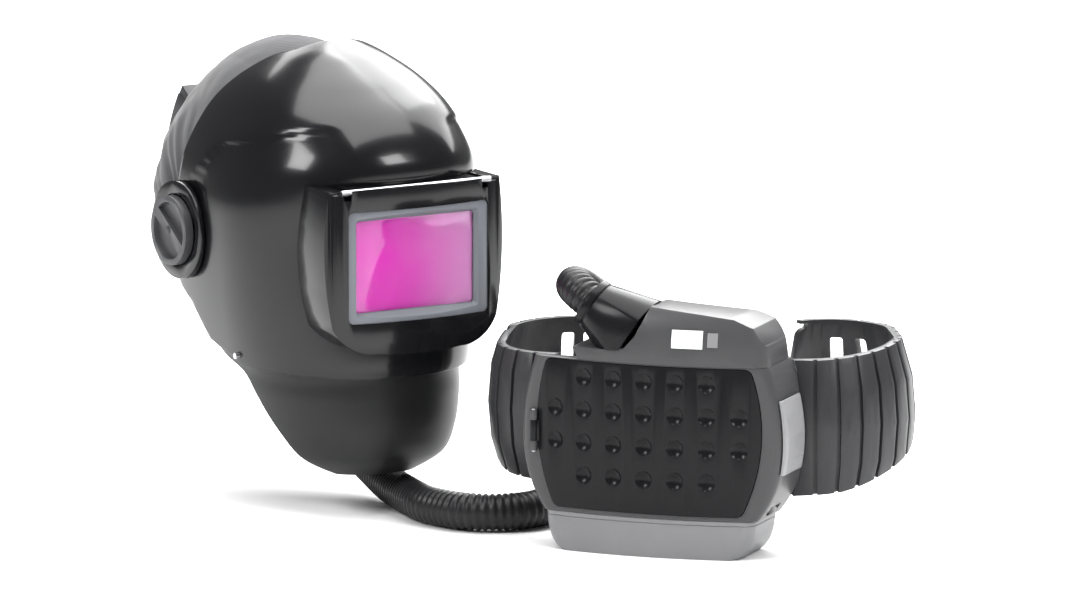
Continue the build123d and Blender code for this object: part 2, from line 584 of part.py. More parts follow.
def belt_half(points, turn, levels, first_slot, slot_pitch, slots, name):
    """One stiff half of the belt: a bowed strip with grooves outside and adjustment slots."""
    flat = [Vector(x, y, 0) for x, y in points]
    path = smooth_path(flat)
    total = path.length

    def frame(distance):
        at, way = path @ (distance / total), path % (distance / total)
        return at, way, Vector(way.Y, -way.X, 0) * turn

    half_wall = BELT_WALL / 2
    start, _, outward = frame(0)
    strip = sweep(belt_section(start, outward, half_wall, -half_wall), path=path)
    strip &= prism_x(make_face(Polyline(*levels, levels[0])), -260, 260)
    for number in range(int((total - 30) / GROOVE_PITCH)):
        at, way, side = frame(20 + number * GROOVE_PITCH)
        face = belt_section(at - way * 1.7, side, 12, half_wall - GROOVE_DEPTH)
        strip -= extrude(face, amount=3.4, dir=way)
    for number in range(slots):
        at, way, side = frame(total - first_slot - number * slot_pitch)
        plane = Plane(origin=at + Vector(0, 0, SLOT_AT), x_dir=way, z_dir=side)
        strip -= extrude(plane * RectangleRounded(*SLOT_SIZE, 2.5), amount=30, both=True)
    at, way, side = frame(total - 8)
    for corner, up in ((levels[-1][1] - 9, 1), (CORNER_LOW, -1)):
        plane = Plane(origin=at + Vector(0, 0, corner), x_dir=way, z_dir=side)
        nook = plane * (Pos(6, 6 * up) * Rectangle(12, 12) - Circle(8))
        strip -= extrude(nook, amount=30, both=True)
    strip -= blower_form(0.25, [(10, 92), *BODY_LEVELS[1:-1], (BODY_TOP + 8, 100)], 10)
    save(name, strip)


def belt_pieces():
    left = [(0, 34), (60, 46), (250, 122), (250, 160), (110, 158), (92, 148), (0, 148)]
    right = [(0, 34), (60, 46), (250, 122), (250, 160), (120, 162), (50, 155), (0, 155)]
    belt_half(BELT_LEFT, -1, left, 42, 19.5, 3, "belt_left")
    belt_half(BELT_RIGHT, 1, right, 40, 26, 2, "belt_right")


def hose_form(grow, corners=None):
    """The hose as one bent rod, or its first corners only, grown by a clearance."""
    points = [Vector(*p) for p in HOSE_RUN]
    for reach, height in HOSE_END:
        end = Vector(0, -reach, height).rotate(Axis.Z, HELMET_YAW) * HELMET_SIZE
        points.append(end + Vector(*HELMET_AT))
    path = smooth_path(points[:corners])
    start = Plane(origin=path @ 0, z_dir=path % 0)
    return sweep(start * Circle(HOSE_DIAMETER / 2 + grow), path=path)


def hose_piece():
    hose = hose_form(0)
    print("hose length", round(hose.volume / (math.pi * HOSE_DIAMETER ** 2 / 4), 1))
    save("breathing_hose", hose)


if __name__ == "__main__":
    os.makedirs("parts", exist_ok=True)
    clear_form = helmet_pieces()
    visor_pieces(clear_form)
    headgear_pieces()
    blower_pieces()
    fan_pieces()
    battery_pieces()
    trim_pieces()
    belt_pieces()
    hose_piece()
    print("helmet written")
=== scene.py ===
"""Powered air respirator: a welding helmet, a belt-worn blower and their breathing hose.

An add-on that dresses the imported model. Each operator makes one group of pieces, in metres, in the
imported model's own frame: the blower faces -Y and stands on its battery at the origin.
"""

import json
import math

import bmesh
import bpy
from mathutils import Matrix, Vector, noise

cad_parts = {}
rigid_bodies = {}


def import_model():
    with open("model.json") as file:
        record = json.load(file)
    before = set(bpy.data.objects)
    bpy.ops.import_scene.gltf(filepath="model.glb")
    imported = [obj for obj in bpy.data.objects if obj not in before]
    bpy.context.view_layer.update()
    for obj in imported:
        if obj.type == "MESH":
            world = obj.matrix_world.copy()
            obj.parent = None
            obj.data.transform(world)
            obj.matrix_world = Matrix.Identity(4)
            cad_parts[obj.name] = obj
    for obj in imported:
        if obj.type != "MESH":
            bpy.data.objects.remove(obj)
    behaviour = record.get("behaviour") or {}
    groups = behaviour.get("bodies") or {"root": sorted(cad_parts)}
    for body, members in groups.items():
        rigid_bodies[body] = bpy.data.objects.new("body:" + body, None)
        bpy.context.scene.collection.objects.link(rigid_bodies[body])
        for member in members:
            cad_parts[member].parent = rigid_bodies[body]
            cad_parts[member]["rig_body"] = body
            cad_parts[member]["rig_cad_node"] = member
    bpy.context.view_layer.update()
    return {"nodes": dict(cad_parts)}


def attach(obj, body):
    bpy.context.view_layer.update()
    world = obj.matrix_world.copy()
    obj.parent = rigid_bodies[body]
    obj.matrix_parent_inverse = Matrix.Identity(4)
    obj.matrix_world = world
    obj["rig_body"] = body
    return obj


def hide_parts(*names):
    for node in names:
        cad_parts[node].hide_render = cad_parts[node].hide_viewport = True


bl_info = {
    "name": "Powered air respirator",
    "version": (1, 0, 0),
    "blender": (4, 5, 0),
    "location": "View3D > Sidebar > Respirator",
    "description": "Helmet, blower, belt and breathing hose around the packed model",
    "category": "Object",
}

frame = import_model()
NODES = frame["nodes"]

# Where the helmet's tilt pivots are, its turn from its own axes to the frame's, and its size
# against the medium one that the tables below describe.
HELMET_AT = Vector((-0.374, 0.1718, 0.2236))
HELMET_TURN = math.radians(51)
HELMET_SIZE = 1.02
IN_HELMET = (Matrix.Translation(HELMET_AT) @ Matrix.Rotation(HELMET_TURN, 4, "Z")
             @ Matrix.Scale(HELMET_SIZE, 4))

# The corners of the hose's route, in metres, the last two on the axis of the duct's socket.
HOSE_CORNERS = [
    (-0.0464, -0.003, 0.1958), (-0.0795, -0.003, 0.2179), (-0.081, 0.043, 0.205),
    (-0.064, 0.080, 0.179), (-0.050, 0.107, 0.143), (-0.044, 0.136, 0.098),
    (-0.050, 0.170, 0.048), (-0.092, 0.190, 0.0157), (-0.124, 0.146, 0.0157),
    (-0.123, 0.097, 0.0157), (-0.1266, 0.0497, 0.0157), (-0.1683, 0.0239, 0.0157),
    (-0.217, 0.0466, 0.0157), (-0.250, 0.088, 0.0157), (-0.272, 0.116, 0.0157),
    (-0.303, 0.151, 0.026), (-0.343, 0.177, 0.046), (-0.386, 0.199, 0.068), (-0.420, 0.2165, 0.091),
]
HOSE_CORNERS += [tuple(IN_HELMET @ Vector((0, -reach, height))) for reach, height in
                 ((-0.095, -0.108), (-0.129, -0.0655))]


# The head cover about the tilt pivots, in mm and degrees, before HELMET_SIZE: half its width, its
# radius in the middle, how far it spans from side to side, where it starts and how far it goes
# round, its columns of faces and its thickness.
COVER_HALF_WIDTH = 98
COVER_RADIUS = 148
COVER_SPAN = 143
COVER_START = 28
COVER_SWEEP = 180
COVER_COLUMNS = 128
COVER_THICKNESS = 1.3

# The way that the air duct takes through the cover: its start and sweep in degrees, its inner and
# outer radius in mm, and half its width in metres.
DUCT_WAY_START = 143
DUCT_WAY_SWEEP = 67
DUCT_WAY_RADII = (90, 175)
DUCT_WAY_HALF_WIDTH = 0.037

# The outlet cuff in metres: the middles of its base and rim, the radius of its base and collar,
# and the bore that takes the hose.
CUFF_BASE = Vector((-0.0171, -0.003, 0.1762))
CUFF_RIM = Vector((-0.0564, -0.003, 0.2025))
CUFF_BASE_RADIUS = 0.035
CUFF_COLLAR_RADIUS = 0.0212
CUFF_BORE = 0.0161

# The camera: its turn and rise, the view's size in pixels, the pixels that a millimetre takes, and
# the pixel where the frame's origin lies.
CAMERA_TURN = math.radians(20)
CAMERA_RISE = math.radians(10)
VIEW_SIZE = (1065, 599)
VIEW_SCALE = 1.235
ORIGIN_PIXEL = (657, 550.3)
SENSOR_WIDTH = 36

# The studio: the floor's radius in metres, the world's strength, and each lamp's name, place,
# target, side in metres and power in watts.
FLOOR_RADIUS = 6
WORLD_STRENGTH = 0.2
MIDDLE = (-0.15, 0.08, 0.18)
LAMPS = (
    ("Key", (-1.3, -1.5, 1.6), MIDDLE, 0.8, 34),
    ("Rim", (1.7, -0.5, 1.5), MIDDLE, 0.7, 24),
    ("Top", (-0.1, 0.2, 2.3), MIDDLE, 2.2, 95),
    ("Back", (0.2, 1.7, 1.5), MIDDLE, 1.8, 50),
    ("Wash", (-1.1, 3.4, 2.6), (-1.1, 3.4, 0.0), 3.6, 260),
)


# ---------------------------------------------------------------- settings
class RespiratorSettings(bpy.types.PropertyGroup):
    """Sizes and colours that a user would change."""

    shell_colour: bpy.props.FloatVectorProperty(
        name="Helmet colour", description="Gloss colour of the helmet shell and visor",
        subtype="COLOR", size=3, default=(0.006, 0.006, 0.007), min=0, max=1)
    guard_colour: bpy.props.FloatVectorProperty(
        name="Neck guard colour", description="Satin colour of the neck guard",
        subtype="COLOR", size=3, default=(0.012, 0.012, 0.013), min=0, max=1)
    fabric_colour: bpy.props.FloatVectorProperty(
        name="Head cover colour", description="Colour of the woven head cover",
        subtype="COLOR", size=3, default=(0.045, 0.045, 0.048), min=0, max=1)
    filter_colour: bpy.props.FloatVectorProperty(
        name="Filter colour", description="Deep colour of the darkening filter",
        subtype="COLOR", size=3, default=(0.95, 0.02, 0.58), min=0, max=1)
    # The pale filter colour is a painted reflection of the studio, spread over the filter's left side.
    filter_painted_reflection: bpy.props.FloatVectorProperty(
        name="Filter painted reflection colour", description="Colour of the painted reflection that pales one side of the filter",
        subtype="COLOR", size=3, default=(0.95, 0.36, 0.76), min=0, max=1)
    housing_colour: bpy.props.FloatVectorProperty(
        name="Housing colour", description="Colour of the blower's casing",
        subtype="COLOR", size=3, default=(0.055, 0.055, 0.057), min=0, max=1)
    battery_colour: bpy.props.FloatVectorProperty(
        name="Battery colour", description="Colour of the battery case",
        subtype="COLOR", size=3, default=(0.20, 0.20, 0.205), min=0, max=1)
    belt_colour: bpy.props.FloatVectorProperty(
        name="Belt colour", description="Colour of the stiff belt",
        subtype="COLOR", size=3, default=(0.03, 0.03, 0.032), min=0, max=1)
    hose_diameter: bpy.props.FloatProperty(
        name="Hose diameter", description="Outer diameter of the breathing hose",
        subtype="DISTANCE", unit="LENGTH", default=0.031, min=0.02, max=0.05)
    rib_pitch: bpy.props.FloatProperty(
        name="Rib pitch", description="Distance from one rib of the hose to the next",
        subtype="DISTANCE", unit="LENGTH", default=0.0056, min=0.003, max=0.02)
    camera_distance: bpy.props.FloatProperty(
        name="Camera distance", description="Distance from the camera to the object",
        subtype="DISTANCE", unit="LENGTH", default=20.0, min=1, max=40)


def settings():
    """The scene's settings of this add-on."""
    return bpy.context.scene.respirator


# ---------------------------------------------------------------- finishes
def node(tree, kind, x, y, **values):
    """Adds one shader node at a place, with its properties set."""
    made = tree.nodes.new(kind)
    made.location = (x, y)
    for name, value in values.items():
        setattr(made, name, value)
    return made


def finish(name, colour, rough, grain=900.0, depth=0.06, spread=0.08, metal=0.0, coat=0.0,
           coat_rough=0.05, sheen=0.0, specular=0.28, wear=0.12):
    """A moulded finish: fine grain in the bump, slow mottling of colour and of roughness."""
    material = bpy.data.materials.new(name)
    material.use_nodes = True
    tree = material.node_tree
    shader = tree.nodes["Principled BSDF"]
    place = node(tree, "ShaderNodeTexCoord", -1100, 0)
    fine = node(tree, "ShaderNodeTexNoise", -850, -300)
    fine.inputs["Scale"].default_value = grain
    fine.inputs["Detail"].default_value = 3
    slow = node(tree, "ShaderNodeTexNoise", -850, 200)
    slow.inputs["Scale"].default_value = 14
    slow.inputs["Detail"].default_value = 5
    for texture in (fine, slow):
        tree.links.new(place.outputs["Object"], texture.inputs["Vector"])
    ramp = node(tree, "ShaderNodeValToRGB", -550, 200)
    low = [channel * (1 - spread) for channel in colour[:3]]
    high = [min(1.0, channel * (1 + spread)) for channel in colour[:3]]
    ramp.color_ramp.elements[0].position = 0.3
    ramp.color_ramp.elements[1].position = 0.7
    ramp.color_ramp.elements[0].color = (*low, 1)
    ramp.color_ramp.elements[1].color = (*high, 1)
    tree.links.new(slow.outputs["Fac"], ramp.inputs["Fac"])
    tree.links.new(ramp.outputs["Color"], shader.inputs["Base Color"])
    patch = node(tree, "ShaderNodeMapRange", -550, -60)
    patch.inputs["From Min"].default_value = 0.3
    patch.inputs["From Max"].default_value = 0.7
    patch.inputs["To Min"].default_value = max(0.02, rough * (1 - wear))
    patch.inputs["To Max"].default_value = min(1.0, rough * (1 + wear))
    tree.links.new(slow.outputs["Fac"], patch.inputs["Value"])
    tree.links.new(patch.outputs["Result"], shader.inputs["Roughness"])
    bump = node(tree, "ShaderNodeBump", -300, -300)
    bump.inputs["Strength"].default_value = depth
    bump.inputs["Distance"].default_value = 0.0006
    tree.links.new(fine.outputs["Fac"], bump.inputs["Height"])
    tree.links.new(bump.outputs["Normal"], shader.inputs["Normal"])
    shader.inputs["Metallic"].default_value = metal
    shader.inputs["Coat Weight"].default_value = coat
    shader.inputs["Coat Roughness"].default_value = coat_rough
    shader.inputs["Sheen Weight"].default_value = sheen
    shader.inputs["Specular IOR Level"].default_value = specular
    return material


def cloth_finish(name, colour, thread=1500.0):
    """A woven finish: two crossed sets of threads, with slow fading of the dye."""
    material = finish(name, colour, 0.9, grain=400, depth=0.05, spread=0.18, sheen=0.25, specular=0.2)
    tree = material.node_tree
    shader = tree.nodes["Principled BSDF"]
    place = tree.nodes["Texture Coordinate"]
    heights = []
    for row, direction in enumerate(("X", "Z")):
        wave = node(tree, "ShaderNodeTexWave", -850, -600 - 250 * row, bands_direction=direction)
        wave.inputs["Scale"].default_value = thread / 6.2
        wave.inputs["Distortion"].default_value = 1.2
        wave.inputs["Detail"].default_value = 1
        tree.links.new(place.outputs["Object"], wave.inputs["Vector"])
        heights.append(wave)
    weave = node(tree, "ShaderNodeMath", -600, -700, operation="MAXIMUM")
    tree.links.new(heights[0].outputs["Fac"], weave.inputs[0])
    tree.links.new(heights[1].outputs["Fac"], weave.inputs[1])
    bump = node(tree, "ShaderNodeBump", -300, -650)
    bump.inputs["Strength"].default_value = 0.35
    bump.inputs["Distance"].default_value = 0.0004
    tree.links.new(weave.outputs["Value"], bump.inputs["Height"])
    tree.links.new(tree.nodes["Bump"].outputs["Normal"], bump.inputs["Normal"])
    tree.links.new(bump.outputs["Normal"], shader.inputs["Normal"])
    return material


def filter_finish(name, deep, pale):
    """Coated glass of the darkening filter: deep on the wearer's right, paler on the left, where a painted
    reflection of the studio pales the colour.
    """
    material = finish(name, deep, 0.08, grain=60, depth=0.004, spread=0.05, coat=1.0, coat_rough=0.02)
    tree = material.node_tree
    shader = tree.nodes["Principled BSDF"]
    turned = node(tree, "ShaderNodeMapping", -850, 500)
    turned.vector_type = "TEXTURE"
    turned.inputs["Location"].default_value = IN_HELMET @ Vector((0, -0.182, -0.009))
    turned.inputs["Rotation"].default_value = (0, 0, HELMET_TURN)
    tree.links.new(tree.nodes["Texture Coordinate"].outputs["Object"], turned.inputs["Vector"])
    axes = node(tree, "ShaderNodeSeparateXYZ", -650, 500)
    tree.links.new(turned.outputs["Vector"], axes.inputs["Vector"])
    across = node(tree, "ShaderNodeMapRange", -450, 500)
    across.inputs["From Min"].default_value = -0.056
    across.inputs["From Max"].default_value = 0.056
    tree.links.new(axes.outputs["X"], across.inputs["Value"])
    # Painted reflection: this ramp across the filter, from the deep colour to the pale one, stands in for the
    # studio's reflection.
    painted_reflection_ramp = node(tree, "ShaderNodeValToRGB", -250, 500)
    painted_reflection_ramp.color_ramp.elements[0].position = 0.05
    painted_reflection_ramp.color_ramp.elements[0].color = (*deep, 1)
    painted_reflection_ramp.color_ramp.elements[1].position = 0.95
    painted_reflection_ramp.color_ramp.elements[1].color = (*pale, 1)
    middle = painted_reflection_ramp.color_ramp.elements.new(0.5)
    middle.color = (*[(a * 0.72 + b * 0.28) for a, b in zip(deep, pale)], 1)
    tree.links.new(across.outputs["Result"], painted_reflection_ramp.inputs["Fac"])
    tree.links.new(painted_reflection_ramp.outputs["Color"], shader.inputs["Base Color"])
    return material


def clear_finish(name):
    """Clear polycarbonate with a faint scuff in its bump."""
    material = finish(name, (0.9, 0.92, 0.93), 0.05, grain=120, depth=0.01, spread=0.02)
    shader = material.node_tree.nodes["Principled BSDF"]
    shader.inputs["Transmission Weight"].default_value = 1.0
    shader.inputs["IOR"].default_value = 1.2
    return material


# ---------------------------------------------------------------- modelling tools
def deselect():
    """Leaves nothing selected, so an operator acts only on what is chosen next."""
    if bpy.context.mode != "OBJECT":
        bpy.ops.object.mode_set(mode="OBJECT")
    bpy.ops.object.select_all(action="DESELECT")


def choose(piece):
    """Makes piece the one selected and active object."""
    deselect()
    piece.select_set(True)
    bpy.context.view_layer.objects.active = piece


def apply_modifiers(piece):
    """Applies each of the piece's modifiers in order."""
    choose(piece)
    for modifier in list(piece.modifiers):
        bpy.ops.object.modifier_apply(modifier=modifier.name)


def settle(piece):
    """Moves the piece's place into its mesh."""
    choose(piece)
    bpy.ops.object.transform_apply(location=True, rotation=True, scale=True)


def bevelled(piece, width, segments=2, angle=35):
    """Rounds the piece's sharp edges and shades it smooth between them."""
    rounding = piece.modifiers.new("Rounded edges", "BEVEL")
    rounding.width = width
    rounding.segments = segments
    rounding.limit_method = "ANGLE"
    rounding.angle_limit = math.radians(angle)
    rounding.harden_normals = False
    apply_modifiers(piece)
    choose(piece)
    bpy.ops.object.shade_smooth_by_angle(angle=math.radians(angle))


def paint(piece, material):
    """Gives the whole piece one material."""
    piece.data.materials.clear()
    piece.data.materials.append(material)


def placed(piece, material, body, *replaced, slot=None):
    """Finishes a piece: its material, the body that it rides on, and the nodes it stands for."""
    paint(piece, material)
    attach(piece, body)
    if replaced:
        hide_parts(*replaced)
    return piece


def mesh_piece(name, points, faces):
    """A new object from points and faces."""
    mesh = bpy.data.meshes.new(name)
    mesh.from_pydata([tuple(point) for point in points], [], faces)
    mesh.update()
    piece = bpy.data.objects.new(name, mesh)
    bpy.context.scene.collection.objects.link(piece)
    return piece


def outward(piece):
    """Merges the piece's doubles and points its faces outwards."""
    choose(piece)
    bpy.ops.object.mode_set(mode="EDIT")
    bpy.ops.mesh.select_all(action="SELECT")
    bpy.ops.mesh.remove_doubles(threshold=1e-5)
    bpy.ops.mesh.normals_make_consistent(inside=False)
    bpy.ops.object.mode_set(mode="OBJECT")
    return piece


def dressed(source, name=None, edge=0.0008, segments=2, angle=35):
    """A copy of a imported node's own shape, merged, with its sharp edges rounded."""
    copy = NODES[source].copy()
    copy.data = NODES[source].data.copy()
    copy.name = name or f"{source}_body"
    copy.parent = None
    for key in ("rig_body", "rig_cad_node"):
        if key in copy:
            del copy[key]
    bpy.context.scene.collection.objects.link(copy)
    copy.matrix_world = Matrix.Identity(4)
    choose(copy)
    bpy.ops.object.mode_set(mode="EDIT")
    bpy.ops.mesh.select_all(action="SELECT")
    bpy.ops.mesh.remove_doubles(threshold=1e-6)
    bpy.ops.mesh.dissolve_limited(angle_limit=math.radians(0.5))
    bpy.ops.object.mode_set(mode="OBJECT")
    bevelled(copy, edge, segments, angle)
    return copy


def cut(piece, tool, operation="DIFFERENCE"):
    """Cuts piece with tool, and deletes the tool."""
    boolean = piece.modifiers.new("Cut", "BOOLEAN")
    boolean.operation = operation
    boolean.object = tool
    boolean.solver = "EXACT"
    apply_modifiers(piece)
    bpy.data.objects.remove(tool, do_unlink=True)


def bar(name, start, end, radius, sides=48, end_radius=None):
    """A round bar or cone from start to end, added as a primitive and settled in its mesh."""
    deselect()
    start, end = Vector(start), Vector(end)
    along = end - start
    turn = along.to_track_quat("Z", "Y").to_euler()
    if end_radius is None:
        bpy.ops.mesh.primitive_cylinder_add(vertices=sides, radius=radius, depth=along.length,
                                            location=(start + end) / 2, rotation=turn)
    else:
        bpy.ops.mesh.primitive_cone_add(vertices=sides, radius1=radius, radius2=end_radius,
                                        depth=along.length, location=(start + end) / 2, rotation=turn)
    piece = bpy.context.object
    piece.name = name
    settle(piece)
    return piece


def block(name, centre, size, turn=(0, 0, 0)):
    """A box, added as a primitive and settled in its mesh."""
    deselect()
    bpy.ops.mesh.primitive_cube_add(size=1, location=centre, rotation=turn, scale=size)
    piece = bpy.context.object
    piece.name = name
    settle(piece)
    return piece


def into_helmet(piece):
    """Turns a piece modelled about the pivots to where the helmet stands."""
    piece.data.transform(IN_HELMET)
    piece.data.update()
    return piece


# ---------------------------------------------------------------- forms shared by several pieces
# Height, half width, reach of the front, place of the widest point, reach of the back, in mm.
SHELL_FORM = [
    (-112, 97, 170, 58, -140), (-95, 101, 174, 58, -145), (-55, 106, 171, 58, -150),
    (0, 109, 169, 58, -150), (40, 108, 174, 58, -140), (70, 102, 175, 57, -115),
    (100, 88, 155, 54, -85), (122, 70, 126, 50, -48), (140, 46, 94, 47, -12),
    (150, 27, 71, 46, 14), (155, 12, 57, 46, 33), (156.3, 4, 50, 46, 42),
]
GUARD_FORM = [
    (-84, 97.2, 168.3, 60, -40), (-97, 94.5, 167, 62, -38), (-108, 89, 167, 65, -34),
    (-125, 87, 169, 70, -25), (-150, 81, 170, 75, -10), (-172, 70, 163, 82, 10),
    (-187, 47, 141, 88, 35),
]
REAR_EDGE = [(66, 172), (58, 151), (30, 138), (4, 108), (-12, 62), (-14, 40), (-28, 28),
             (-38, 0), (-30, -28), (-10, -48), (8, -58), (34, -84), (80, -98), (180, -104)]
GUARD_EDGE = [(8, -70), (30, -88), (66, -108), (92, -138), (112, -166), (128, -196)]


def between(rows, at):
    """A smooth row at a fractional index of rows, by a Catmull-Rom curve."""
    last = len(rows) - 1
    index = min(int(at), last - 1)
    t = at - index
    before, here = rows[max(index - 1, 0)], rows[index]
    after, beyond = rows[index + 1], rows[min(index + 2, last)]
    return [0.5 * (2 * b + (c - a) * t + (2 * a - 5 * b + 4 * c - d) * t * t
                   + (3 * b - a - 3 * c + d) * t ** 3)
            for a, b, c, d in zip(before, here, after, beyond)]


def step(value):
    """0 below 0, 1 above 1, and a smooth rise between."""
    value = min(1.0, max(0.0, value))
    return value * value * (3 - 2 * value)


def skin(name, form, rings, sides, relief=None, closed_top=True):
    """The outer surface of a form as a grid about the helmet's pivots, with a pole at its top."""
    points, faces = [], []
    for number in range(rings):
        height, half, front, middle, back = between(form, number * (len(form) - 1) / (rings - 1))
        for part in range(sides):
            angle = 2 * math.pi * part / sides
            side, forward = math.cos(angle), math.sin(angle)
            reach = (front if forward > 0 else 2 * middle - back) - middle
            x = half * math.copysign(abs(side) ** (2 / 2.25), side)
            y = middle + reach * math.copysign(abs(forward) ** (2 / 2.25), forward)
            if relief:
                depth = relief(x, y, height)
                x -= depth * side
                y -= depth * forward
            points.append(Vector((x, -y, height)) / 1000)
    for ring in range(rings - 1):
        for part in range(sides):
            a, b = ring * sides + part, ring * sides + (part + 1) % sides
            faces.append((a, b, b + sides, a + sides))
    if closed_top:
        last = (rings - 1) * sides
        faces.append(tuple(range(last, last + sides)))
    piece = mesh_piece(name, points, faces)
    return outward(piece)


def thickened(piece, wall):
    """Gives an open skin a wall on its inner side."""
    solid = piece.modifiers.new("Wall", "SOLIDIFY")
    solid.thickness = wall / 1000
    solid.offset = -1
    solid.use_even_offset = True
    apply_modifiers(piece)
    return piece


def smooth_outline(points, steps=6):
    """The same outline with its corners eased by a Catmull-Rom curve."""
    rows = [tuple(map(float, point)) for point in points]
    count = (len(rows) - 1) * steps
    return [between(rows, number / steps) for number in range(count + 1)]


def side_prism(name, outline, half=0.2, front=True):
    """A side view outline of reach and height, in mm, or all that is in front of it, as a solid."""
    flat = [(-reach / 1000, height / 1000) for reach, height in outline]
    if front:
        flat += [(-0.4, flat[-1][1]), (-0.4, flat[0][1])]
    count = len(flat)
    points = [(side * half, y, z) for side in (-1, 1) for y, z in flat]
    faces = [tuple(range(count)), tuple(range(2 * count - 1, count - 1, -1))]
    faces += [(n, n + count, (n + 1) % count + count, (n + 1) % count) for n in range(count)]
    piece = mesh_piece(name, points, faces)
    return outward(piece)


def ring_band(name, points, closed=True):
    """Skins a list of rings of points."""
    sides = len(points[0])
    flat = [point for ring in points for point in ring]
    faces = []
    for ring in range(len(points) - 1):
        for part in range(sides if closed else sides - 1):
            a, b = ring * sides + part, ring * sides + (part + 1) % sides
            faces.append((a, b, b + sides, a + sides))
    return mesh_piece(name, flat, faces)


# ---------------------------------------------------------------- operators
class RESPIRATOR_OT_stage(bpy.types.Operator):
    """Sets the floor, the lights and the camera"""

    bl_idname = "respirator.stage"
    bl_label = "Stage"

    def execute(self, context):
        turn, tilt = CAMERA_TURN, CAMERA_RISE
        distance = settings().camera_distance
        right = Vector((math.cos(turn), math.sin(turn), 0))
        forward = Vector((-math.sin(turn) * math.cos(tilt), math.cos(turn) * math.cos(tilt), -math.sin(tilt)))
        up = right.cross(forward)
        across, height = VIEW_SIZE[0] / 2 - ORIGIN_PIXEL[0], ORIGIN_PIXEL[1] - VIEW_SIZE[1] / 2
        aim = right * (across / VIEW_SCALE / 1000) + up * (height / VIEW_SCALE / 1000)
        camera = bpy.data.objects.new("Camera", bpy.data.cameras.new("Camera"))
        context.scene.collection.objects.link(camera)
        camera.location = aim - forward * distance
        camera.rotation_euler = forward.to_track_quat("-Z", "Y").to_euler()
        camera.data.lens = VIEW_SCALE * distance * 1000 / VIEW_SIZE[0] * SENSOR_WIDTH
        camera.data.sensor_width = SENSOR_WIDTH
        camera.data.clip_start = 0.1
        camera.data.clip_end = 60
        context.scene.camera = camera

        deselect()
        bpy.ops.mesh.primitive_circle_add(vertices=128, radius=FLOOR_RADIUS, fill_type="NGON")
        floor = context.object
        floor.name = "studio_floor"
        paint(floor, finish("Studio paper", (0.93, 0.93, 0.93), 0.95, grain=80, depth=0.01, spread=0.004))

        world = bpy.data.worlds.new("Studio")
        context.scene.world = world
        world.use_nodes = True
        world.node_tree.nodes["Background"].inputs["Color"].default_value = (1, 1, 1, 1)
        world.node_tree.nodes["Background"].inputs["Strength"].default_value = WORLD_STRENGTH
        for values in LAMPS:
            self.lamp(*values)
        context.scene.view_settings.view_transform = "Standard"
        return {"FINISHED"}

    def lamp(self, name, place, target, size, power):
        """One soft square lamp that faces its target."""
        data = bpy.data.lights.new(name, "AREA")
        data.size = size
        data.energy = power
        lamp = bpy.data.objects.new(name, data)
        bpy.context.scene.collection.objects.link(lamp)
        lamp.location = place
        lamp.rotation_euler = (Vector(target) - Vector(place)).to_track_quat("-Z", "Y").to_euler()


